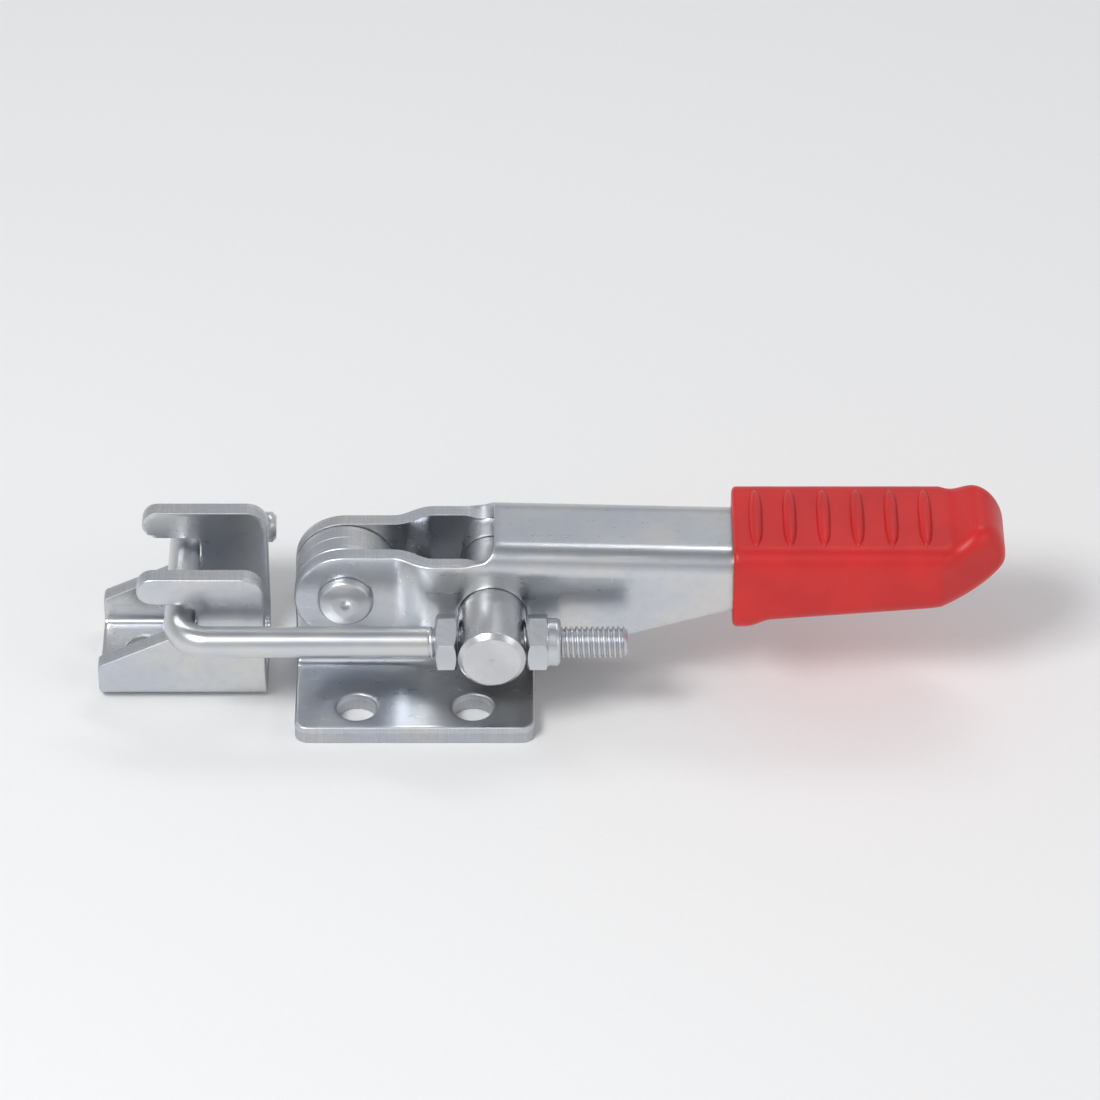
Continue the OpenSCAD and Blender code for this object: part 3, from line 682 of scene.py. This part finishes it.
def rib_rise(x, y):
    """Height of the half-round ribs over the flat top, with a small fillet at the foot."""
    nearest = np.clip(np.round((x - rib_places[0]) / rib_pitch), 0, rib_count - 1)
    off = x - rib_places[0] - nearest * rib_pitch
    over = np.sqrt(np.maximum(0, rib_reach(y) ** 2 - off ** 2)) - rib_sink
    fillet = 0.10
    return np.maximum(0, (over + np.sqrt(over ** 2 + fillet ** 2)) / 2 - fillet / 4)


def ring_faces(rows, around, closed=False):
    """Faces of a tube made of rings of points. It has a cap at both ends, unless its last
    ring meets its first."""
    faces = []
    for j in range(rows if closed else rows - 1):
        here, ahead = j * around, (j + 1) % rows * around
        for i in range(around):
            k = (i + 1) % around
            faces.append((here + i, ahead + i, ahead + k, here + k))
    if not closed:
        faces += [list(range(around)), list(range((rows - 1) * around, rows * around))]
    return faces


rings = []
ribs_end = grip_end - nose_l - swell_l
for x in along_grip():
    inset = rim_r * (1 - quarter(grip_x + rim_r - x, 0, rim_r))
    top, low, half = grip_section(x)
    ring, turned_by = ring_round(x, top - inset, low + inset, half - inset, edge_r)
    if grip_x + rim_r < x < ribs_end:
        ring[:, 0] = drawn_to_ribs(ring[:, 0], ring[:, 1], turned_by)
        flat = turned_by == 0
        ring[flat, 2] += rib_rise(ring[flat, 0], ring[flat, 1])
    rings.append(ring)
cavity = []
room, mouth_flare, room_below = 0.08, 0.35, 0.1
belly_slope = (tail_low - grip_belly_z) / (tail_x - grip_x)
cavity_places = list(grip_x + rim_r * np.array([0.0, 0.3, 1.0]))
cavity_places += list(np.linspace(grip_x + 2, tail_x, 30))
for x in cavity_places:
    wall = room + mouth_flare * max(0.0, 1 - (x - grip_x) / rim_r) ** 2
    low = grip_belly_z + (x - grip_x) * belly_slope
    cavity.append(ring_round(
        x, float(web_height(x)) + wall, low - wall - room_below, lever_half_w + wall,
        lever_bend_out
    )[0])
rings = cavity[::-1] + rings
grip_faces = ring_faces(len(rings), len(rings[0]))
grip = mesh_piece("grip_sleeve", np.concatenate(rings), grip_faces, sharp=50)

grip_finish, start = new_finish("soft_red_plastic")
at = start.node("TexCoord", output="Object")
pores = start.node("TexVoronoi", {"feature": "SMOOTH_F1"}, {
    "Vector": at, "Scale": 3400.0, "Smoothness": 0.7, "Randomness": 1.0
})
fine = noise(at, (6000, 6000, 6000), detail=3)
clouds = noise(at, (90, 90, 90), detail=3)
scuffs = band(noise(at, (2600, 260, 700), detail=1, bend=0.5), 0.70, 0.78)
red = tint(band(clouds, 0.3, 0.7), (0.62, 0.014, 0.013), (0.54, 0.010, 0.011))
red = tint(band(fine, 0.5, 0.8) * 0.2, red, (0.66, 0.04, 0.035))
red = tint(scuffs * 0.08, red, (0.80, 0.24, 0.20))
rough = 0.30 + 0.12 * clouds + 0.10 * fine + 0.08 * scuffs
height = 1.0 * pores + 0.5 * fine - 0.3 * scuffs
surface(start, red, rough, height, relief=0.00002, strength=0.6, IOR=1.5)
grip.data.materials.append(grip_finish)
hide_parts("grip")
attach(grip, "lever_arm")


# Trunnion: a turned steel pin that the rod's pull goes through. Its thick end is drilled
# across for the rod, its neck turns in the far side plate, and a groove there takes the
# clip. It is plated bright and turns in the lever as it opens.

trunnion_low, trunnion_high = box_mm("trunnion")
trunnion_r = trunnion_high.z - trunnion_z
leg_y = joints["inner_nut_turn"]["pos_m"][1] / MM
rod_r = 3.0
shoulder_gap, clip_gap, drill_gap = 0.15, 0.05, 0.25
shoulder_y = lever_half_w - lever_t - shoulder_gap
neck_r, groove_r = 4.25, 3.25
clip_low, clip_high = box_mm("retaining_clip")
groove_y = clip_low.y - clip_gap, clip_high.y + clip_gap
near_y, far_y = trunnion_low.y, trunnion_high.y
near_chamfer, far_chamfer = 1, 0.6
trunnion_profile = [(0, near_y + 0.35), (0.35, near_y + 0.25), (0.8, near_y)]
trunnion_profile += [tuple(p) for p in rounded([
    (1.2, near_y, 0), (trunnion_r - near_chamfer, near_y, 0.25),
    (trunnion_r, near_y + near_chamfer, 0.25), (trunnion_r, shoulder_y, 0.3),
    (neck_r, shoulder_y, 0), (neck_r, groove_y[0], 0.1), (groove_r, groove_y[0], 0),
    (groove_r, groove_y[1], 0), (neck_r, groove_y[1], 0.1),
    (neck_r, far_y - far_chamfer, 0.2), (neck_r - far_chamfer, far_y, 0.2), (1.0, far_y, 0)
], closed=False, steps=4)]
trunnion_profile += [(0.7, far_y), (0.3, far_y - 0.2), (0, far_y - 0.3)]
trunnion_at = (trunnion_x, 0, trunnion_z)
trunnion = turned("trunnion_pin", trunnion_profile, trunnion_at, sides=128)
drill_r, drill_l = rod_r + drill_gap, 20
drill_profile = [(0, -drill_l), (drill_r, -drill_l), (drill_r, drill_l), (0, drill_l)]
drill = turned("cross_drill", drill_profile, (trunnion_x, leg_y, trunnion_z), sides=64, axis="X")
drilling = trunnion.modifiers.new("cross_hole", "BOOLEAN")
drilling.object = drill
drilling.solver = "EXACT"
# The hole is cut before the modifier that sets the shading.
trunnion.modifiers.move(1, 0)
seen = trunnion.evaluated_get(bpy.context.evaluated_depsgraph_get())
drilled = bpy.data.meshes.new_from_object(seen)
trunnion.modifiers.remove(drilling)
trunnion.data = drilled
bpy.data.objects.remove(drill)
trunnion.data.materials.clear()
trunnion.data.materials.append(turned_steel("zinc_trunnion", trunnion_at, rough=0.2, ring=5200))
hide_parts("trunnion")
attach(trunnion, "trunnion_body")


# Retaining clip: an E-shaped ring stamped from 1 mm spring steel and hardened dark. It is
# pressed into the trunnion's groove from one side and keeps the pin in the lever.

clip_t = 1.0
clip_r = clip_high.z - trunnion_z
clip_seat, clip_relief = groove_r + 0.02, neck_r + 0.35
mouth = 2.8
lug, lug_turn = 1.1, 115
acute_r = 0.16


def polar(radius, height):
    """Angle in degrees of the place on a circle at a height over its centre line."""
    return math.degrees(math.asin(height / radius))


mouth_out, mouth_in = 180 - polar(clip_r, mouth), 180 - polar(clip_seat, mouth)
lug_tip, lug_root = polar(clip_seat, lug), polar(clip_relief, lug)
stretches = [
    (clip_r, -mouth_out, mouth_out, 80), (clip_seat, mouth_in, lug_turn - lug_tip, 6),
    (clip_relief, lug_turn - lug_root, lug_root, 16), (clip_seat, lug_tip, -lug_tip, 6),
    (clip_relief, -lug_root, lug_root - lug_turn, 16),
    (clip_seat, lug_tip - lug_turn, -mouth_in, 6),
]
clip_corners = []
for radius, start, end, steps in stretches:
    stretch = arc(0, 0, radius, start, end, steps)
    clip_corners += [
        (x, y, acute_r if k in (0, steps) else 0) for k, (x, y) in enumerate(stretch)
    ]
clip_outline = rounded(clip_corners, steps=4)


def clip_place(u, v, w):
    return np.column_stack([u + trunnion_x, w + (clip_low.y + clip_high.y) / 2, v + trunnion_z])


clip = pressed_sheet("retaining_clip_stamped", [clip_outline], clip_place, clip_t,
                     step=0.4, roll=0.12, burr=0.08)
clip_finish, start = new_finish("dark_spring_steel")
at = start.node("TexCoord", output="Object")
clouds = noise(at, (500, 500, 500), detail=4)
grit = noise(at, (7000, 7000, 7000), detail=2)
dark = tint(band(clouds, 0.35, 0.7), (0.16, 0.165, 0.18), (0.25, 0.245, 0.24))
surface(start, dark, 0.30 + 0.18 * clouds, grit, relief=0.000008, Metallic=1.0)
clip.data.materials.append(clip_finish)
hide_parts("retaining_clip")
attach(clip, "trunnion_body")


# Hook rod: drawn 6 mm steel rod, cut and chamfered, bent twice into a J and threaded on
# its long leg by rolling, so that the crests stand a little rounded. The thread runs from
# inside the inner nut to the end, and the rod is bright zinc plated.

rod_low, rod_high = box_mm("hook_rod")
rod_z = trunnion_z
rod_bend = 5.5
cross_x = rod_low.x + rod_r
short_x = cross_x + 17.6
rod_chamfer = 0.8
pitch = 1.0
thread_depth = 0.53
run_out = 1.6
thread_x = box_mm("inner_nut")[0].x - 1.5


def rod_path():
    """Stations along the rod: middle, direction and length so far, close over the thread."""
    stations = []

    def straight(a, b, spots):
        way = (b - a) / np.linalg.norm(b - a)
        stations.extend((a + way * s, way) for s in spots)

    def corner(centre, start):
        for turn in np.radians(np.linspace(start, start + 90, 25)):
            out = np.array([math.cos(turn), math.sin(turn)])
            stations.append((centre + rod_bend * out, np.array([-out[1], out[0]])))

    tip = np.array([rod_high.x, leg_y])
    bend_x = cross_x + rod_bend
    thread_l = rod_high.x - thread_x
    spots = [0, 0.02] + list(np.arange(0.08, thread_l, pitch / 12))
    spots += list(np.arange(thread_l, rod_high.x - bend_x, 1.5))
    straight(tip, np.array([bend_x, leg_y]), spots)
    stations.reverse()
    lower = [(spot, -way) for spot, way in stations]
    stations.clear()
    corner(np.array([bend_x, -leg_y - rod_bend]), 90)
    straight(np.array([cross_x, -leg_y - rod_bend]), np.array([cross_x, leg_y + rod_bend]),
             np.arange(1.0, -2 * (leg_y + rod_bend) - 0.5, 1.0))
    corner(np.array([bend_x, leg_y + rod_bend]), 180)
    upper = list(stations)
    stations.clear()
    straight(np.array([short_x, -leg_y]), np.array([bend_x, -leg_y]),
             [0, 0.02, rod_chamfer] + list(np.arange(1.5, short_x - bend_x - 0.5, 1.2)))
    return stations + upper + lower


path = rod_path()
spots = np.array([spot for spot, _ in path])
ways = np.array([way for _, way in path])
run = np.concatenate([[0], np.linalg.norm(np.diff(spots, axis=0), axis=1).cumsum()])
sides = 56
turns = np.linspace(0, 2 * math.pi, sides, endpoint=False)
turn_grid, run_grid = np.meshgrid(turns, run)
x_grid = spots[:, 0:1] + 0 * turn_grid
on_leg = (spots[:, 1:2] < 0) & (ways[:, 0:1] > 0.999)
phase = np.mod(x_grid / pitch - turn_grid / (2 * math.pi), 1.0)
flank_top, flank_steepness = 1.25, 3.2
groove = smooth(flank_top - np.abs(phase - 0.5) * flank_steepness, 0, 1)
fade = smooth(x_grid, thread_x, thread_x + run_out) * on_leg
radius = rod_r - thread_depth * groove * fade
to_end = np.minimum(run_grid, run[-1] - run_grid)
radius = np.minimum(radius, rod_r - np.maximum(0, rod_chamfer - to_end))
side_way = np.stack([-ways[:, 1], ways[:, 0]], 1)
points = np.stack([
    spots[:, 0:1] + side_way[:, 0:1] * radius * np.cos(turn_grid),
    spots[:, 1:2] + side_way[:, 1:2] * radius * np.cos(turn_grid),
    rod_z + radius * np.sin(turn_grid),
], -1).reshape(-1, 3)
flow = np.stack([radius * np.cos(turn_grid), radius * np.sin(turn_grid), run_grid], -1)
flow = flow.reshape(-1, 3)
crest_share = (fade * (1 - groove)).reshape(-1)
rod = mesh_piece("hook_rod_threaded", points, ring_faces(len(path), sides), sharp=60,
                 flow=flow, crest=crest_share, thread=fade.reshape(-1))

rod_finish, start = new_finish("zinc_rod")
flow = stored(start, "flow", output="Vector")
crest, threaded = stored(start, "crest"), stored(start, "thread")
drawn = noise(flow, (9, 9, 0.12), detail=3, rough=0.6)
grit = noise(flow, (7, 7, 7), detail=2)
clouds = noise(flow, (0.25, 0.25, 0.12), detail=3)
plate = tint(band(clouds, 0.35, 0.68), (0.64, 0.66, 0.70), (0.69, 0.69, 0.68))
plate = tint(band(drawn, 0.5, 0.8) * 0.3, plate, (0.50, 0.52, 0.56))
# Painted shade: the thread's roots, between the crests, are coloured darker.
plate = tint((threaded - crest) * 0.4, plate, (0.42, 0.43, 0.46))
rough = 0.22 + 0.10 * drawn + 0.10 * clouds + 0.08 * threaded
surface(start, plate, rough, drawn + 0.35 * grit, relief=0.00001, Metallic=1.0)
rod.data.materials.append(rod_finish)
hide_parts("hook_rod")
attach(rod, "hook")


# Nuts: a thin M6 nut on the hook's side of the trunnion and a lock nut behind it, whose
# collar is crimped over a nylon ring. Both are cold formed with chamfered corners, plated,
# and turn together to set the rod's length.

nut_half = 5.0
nut_corner = nut_half / math.cos(math.pi / 6)
hexagon = rounded([
    (nut_corner * math.cos(a), nut_corner * math.sin(a), 0.3)
    for a in np.radians(range(30, 390, 60))
], steps=4)
hexagon = [
    start + (end - start) * s / 5
    for start, end in zip(hexagon, hexagon[1:] + hexagon[:1]) for s in range(5)
]
hexagon = np.array(hexagon)
corner_far = np.linalg.norm(hexagon, axis=1)


def nut(name, rings, x0):
    """A nut from its rings: each is a radius, or None for the hexagon, and a place along X
    that may differ round the ring."""
    points = []
    for radius, x in rings:
        flat = hexagon if radius is None else hexagon / corner_far[:, None] * radius
        points.append(np.column_stack([
            x0 + x + 0 * corner_far, leg_y + flat[:, 0], rod_z + flat[:, 1]
        ]))
    faces = ring_faces(len(rings), len(hexagon), closed=True)
    return mesh_piece(name, np.concatenate(points), faces, sharp=22)


def chamfer(face_r):
    """How far a chamfer that starts at a radius has fallen round the hexagon."""
    return np.maximum(0, corner_far - face_r) * math.tan(math.radians(30))


def formed_steel(name, x0):
    """Plated cold formed steel: faint forming marks, with rings on the faces."""
    return turned_steel(name, (x0, leg_y, rod_z), axis_x=True,
                        colour=(0.64, 0.66, 0.69), rough=0.25, ring=3600, uneven=9.0)


bore_r, sunk = rod_r + 0.06, 0.4
inner_low, inner_high = box_mm("inner_nut")
inner_h = inner_high.x - inner_low.x
face_r = 0.95 * nut_half
face_edge, face_fall = 0.1, 0.02
inner_rings = [
    (bore_r + sunk, 0), (face_r - face_edge, 0), (face_r, face_fall),
    (None, chamfer(face_r) + face_fall), (None, inner_h - chamfer(face_r) - face_fall),
    (face_r, inner_h - face_fall), (face_r - face_edge, inner_h),
    (bore_r + sunk, inner_h), (bore_r, inner_h - sunk), (bore_r, sunk),
]
inner_nut = nut("inner_nut_formed", inner_rings, inner_low.x)
inner_nut.data.materials.append(formed_steel("zinc_inner_nut", inner_low.x))
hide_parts("inner_nut")
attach(inner_nut, "front_nut")

lock_low, lock_high = box_mm("lock_nut")
lock_h, hex_h = lock_high.x - lock_low.x, 4.0
back_face_r = 5.2
collar_r, lip_r, ring_r, lip_t, ring_t = 4.65, 3.49, 4.2, 0.5, 1.8
crimp_r, lip_edge = 1.0, 0.12
foot_r, foot_mid = 0.25, 0.06
lock_rings = [
    (bore_r + sunk, 0), (face_r - face_edge, 0), (face_r, face_fall),
    (None, chamfer(face_r) + face_fall), (None, hex_h - chamfer(back_face_r) - face_fall),
    (back_face_r - 0.05, hex_h), (collar_r + foot_r, hex_h),
    (collar_r + foot_mid, hex_h + foot_mid), (collar_r, hex_h + foot_r),
    (collar_r, lock_h - crimp_r),
]
lock_rings += [
    (collar_r - crimp_r * (1 - math.cos(a)), lock_h - crimp_r * (1 - math.sin(a)))
    for a in np.radians(range(15, 91, 15))
]
lip_x = lock_h - lip_t
lock_rings += [
    (lip_r + lip_edge, lock_h), (lip_r, lock_h - lip_edge), (lip_r, lip_x), (ring_r, lip_x),
    (ring_r, lip_x - ring_t), (bore_r, lip_x - ring_t), (bore_r, sunk),
]
lock_nut = nut("lock_nut_formed", lock_rings, lock_low.x)
lock_nut.data.materials.append(formed_steel("zinc_lock_nut", lock_low.x))
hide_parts("lock_nut")
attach(lock_nut, "back_nut")

ring_low, ring_high = box_mm("lock_nut_ring")
nylon_r = ring_high.z - rod_z
nylon_profile = [tuple(p) for p in rounded([
    (bore_r, ring_low.x, 0.1), (nylon_r, ring_low.x, 0.1), (nylon_r, ring_high.x, 0.1),
    (bore_r, ring_high.x, 0.25)
], steps=4)]
nylon_profile.append(nylon_profile[0])
nylon_ring = turned("lock_nut_nylon", nylon_profile, (0, leg_y, rod_z), sides=64, axis="X")
nylon_finish, start = new_finish("natural_nylon")
at = start.node("TexCoord", output="Object")
clouds = noise(at, (900, 900, 900), detail=3)
pale = tint(band(clouds, 0.3, 0.7), (0.74, 0.75, 0.70), (0.66, 0.68, 0.64))
surface(start, pale, 0.38 + 0.12 * clouds, clouds, relief=0.00001, strength=0.4, IOR=1.53)
nylon_ring.data.materials.append(nylon_finish)
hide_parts("lock_nut_ring")
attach(nylon_ring, "back_nut")


# Catch: a channel pressed from 3.5 mm sheet, with two hooked walls that the crossbar is
# drawn against, ramps that lift it in, and two fixing holes in the floor. It is bright
# zinc plated like the base.

catch_t = 3.5
catch_bend_r = 1.5
catch_bend_out = catch_bend_r + catch_t
catch_bend_mid = catch_bend_out - catch_t / 2
catch_low, catch_high = box_mm("catch_bracket")
catch_half_w = catch_high.y
catch_flat = catch_half_w - catch_bend_out
catch_arc_l = math.pi / 2 * catch_bend_mid
notch_low, notch_high = rod_z - rod_r - 0.3, rod_z + rod_r + 1.3
notch_x = cross_x + rod_r + 0.3
notch_r = 2.0
nose_r = (catch_high.z - notch_high) / 2
nose_reach = 8
nose_x = cross_x - nose_reach + nose_r
ramp_foot_z = 8.8


def catch_v(z):
    return catch_flat + catch_arc_l + z - catch_bend_out


def catch_bend(u, v, w):
    out = np.abs(v)
    turn = np.clip((out - catch_flat) / catch_bend_mid, 0, math.pi / 2)
    past = np.maximum(0, out - catch_flat - catch_arc_l)
    y = np.minimum(out, catch_flat) + (catch_bend_mid + w) * np.sin(turn)
    z = catch_bend_out - (catch_bend_mid + w) * np.cos(turn) + past
    return np.column_stack([u, np.sign(v) * y, z])


catch_half = rounded([
    (catch_low.x, 0, 0), (catch_low.x, catch_v(ramp_foot_z), 0.8),
    (cross_x - 0.5, catch_v(notch_low), 1.0), (notch_x, catch_v(notch_low), notch_r),
    (notch_x, catch_v(notch_high), notch_r), (nose_x, catch_v(notch_high), 0)
], closed=False)
catch_half += arc(nose_x, catch_v(catch_high.z - nose_r), nose_r, 270, 90, 20)[1:]
catch_half += rounded([
    (nose_x, catch_v(catch_high.z), 0), (catch_high.x, catch_v(catch_high.z), 4),
    (catch_high.x, 0, 0)
], closed=False, steps=10)[1:]
catch_outline = catch_half + [point * [1, -1] for point in catch_half[-2:0:-1]]
catch_bolts = mounts["catch_bolts"]
catch_holes = [
    circle(catch_bolts["pos_m"][0] / MM + x * catch_bolts["dims"]["spacing_x_mm"] / 2, 0,
           catch_bolts["dims"]["hole_r_mm"])
    for x in (-1, 1)
]
catch = pressed_sheet("catch_channel", [catch_outline] + catch_holes, catch_bend, catch_t)
catch.data.materials.append(plated_sheet("zinc_catch", shift=0.7, thick=catch_t))
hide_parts("catch_bracket")
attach(catch, "root")


# Studio: a plain pale floor under a pale sky that darkens towards the top, a large soft key
# light from the left front, and weaker ones from the right and from behind. Far from the
# object the floor takes the sky's colour at the horizon, so that no edge shows.

horizon = (0.84, 0.84, 0.84)
sky_strength = 0.85
fade_start, fade_end = 0.45, 1.5
reach = 4.0
under_feet = 0.00005
floor_mesh = bpy.data.meshes.new("floor")
floor_mesh.from_pydata(
    [(-reach, -reach, 0), (reach, -reach, 0), (reach, reach, 0), (-reach, reach, 0)], [],
    [(0, 1, 2, 3)]
)
floor = bpy.data.objects.new("floor", floor_mesh)
floor.location.z = -under_feet
bpy.context.scene.collection.objects.link(floor)
floor_finish, start = new_finish("pale_paper")
at = start.node("TexCoord", output="Object")
fibre = noise(at, (900, 900, 900), detail=3)
paper = tint(fibre, (0.86, 0.86, 0.855), (0.89, 0.89, 0.885))
shader = start.node("BsdfPrincipled", {}, {"Base Color": paper, "Roughness": 0.85})
away = start.node("VectorMath", {"operation": "LENGTH"}, {0: at}, output="Value")
camera_ray = start.node("LightPath", output="Is Camera Ray")
glossy_ray = start.node("LightPath", output="Is Glossy Ray")
haze = start.node("Emission", {}, {"Color": (*horizon, 1), "Strength": sky_strength})
shader = start.node("MixShader", {}, {
    0: band(away, fade_start, fade_end) * (camera_ray + glossy_ray), 1: shader, 2: haze
})
start.node("OutputMaterial", {}, {"Surface": shader})
floor.data.materials.append(floor_finish)

world = bpy.data.worlds.new("studio")
bpy.context.scene.world = world
world.use_nodes = True
world.node_tree.nodes.clear()
start = Wire(world.node_tree)
way = start.node("TexCoord", output="Generated")
up = start.node("SeparateXYZ", {}, {"Vector": way}, output="Z")
sky = start.node("ValToRGB", {"stops": [
    (0.0, horizon), (0.18, (0.80, 0.80, 0.81)), (0.45, (0.50, 0.51, 0.53)),
    (0.75, (0.56, 0.57, 0.59)), (1.0, (0.30, 0.31, 0.33))
]}, {"Fac": up})
lit = start.node("Background", {}, {"Color": sky, "Strength": sky_strength})
start.node("OutputWorld", {}, {"Surface": lit})

middle = (cad_box[0] + cad_box[1]) / 2


def soft_light(name, azimuth, elevation, distance, size, power):
    """A rectangular soft light that looks at the object's middle."""
    data = bpy.data.lights.new(name, "AREA")
    data.shape = "RECTANGLE"
    data.size, data.size_y = size
    data.energy = power
    light = bpy.data.objects.new(name, data)
    a, e = math.radians(azimuth), math.radians(elevation)
    back = Vector((math.sin(a) * math.cos(e), -math.cos(a) * math.cos(e), math.sin(e)))
    light.location = middle + back * distance
    light.rotation_euler = (-back).to_track_quat("-Z", "Y").to_euler()
    bpy.context.scene.collection.objects.link(light)


soft_light("key", -42, 52, 0.95, (0.38, 0.27), 5.0)
soft_light("fill", 60, 30, 1.0, (0.45, 0.45), 0.8)
soft_light("rim", 150, 55, 0.9, (0.50, 0.12), 0.9)

camera_data = bpy.data.cameras.new("camera")
camera_data.lens = 200
camera_data.sensor_width = 36
camera = bpy.data.objects.new("camera", camera_data)
bpy.context.scene.collection.objects.link(camera)
bpy.context.scene.camera = camera
elevation = math.radians(38)
shown_width = 0.212
aim_height = 0.028
distance = shown_width * camera_data.lens / camera_data.sensor_width
aim = Vector((middle.x, 0, aim_height))
back = Vector((0, -math.cos(elevation), math.sin(elevation)))
camera.location = aim + back * distance
camera.rotation_euler = (-back).to_track_quat("-Z", "Y").to_euler()
camera_data.clip_end = 20
bpy.context.scene.view_settings.view_transform = "Standard"
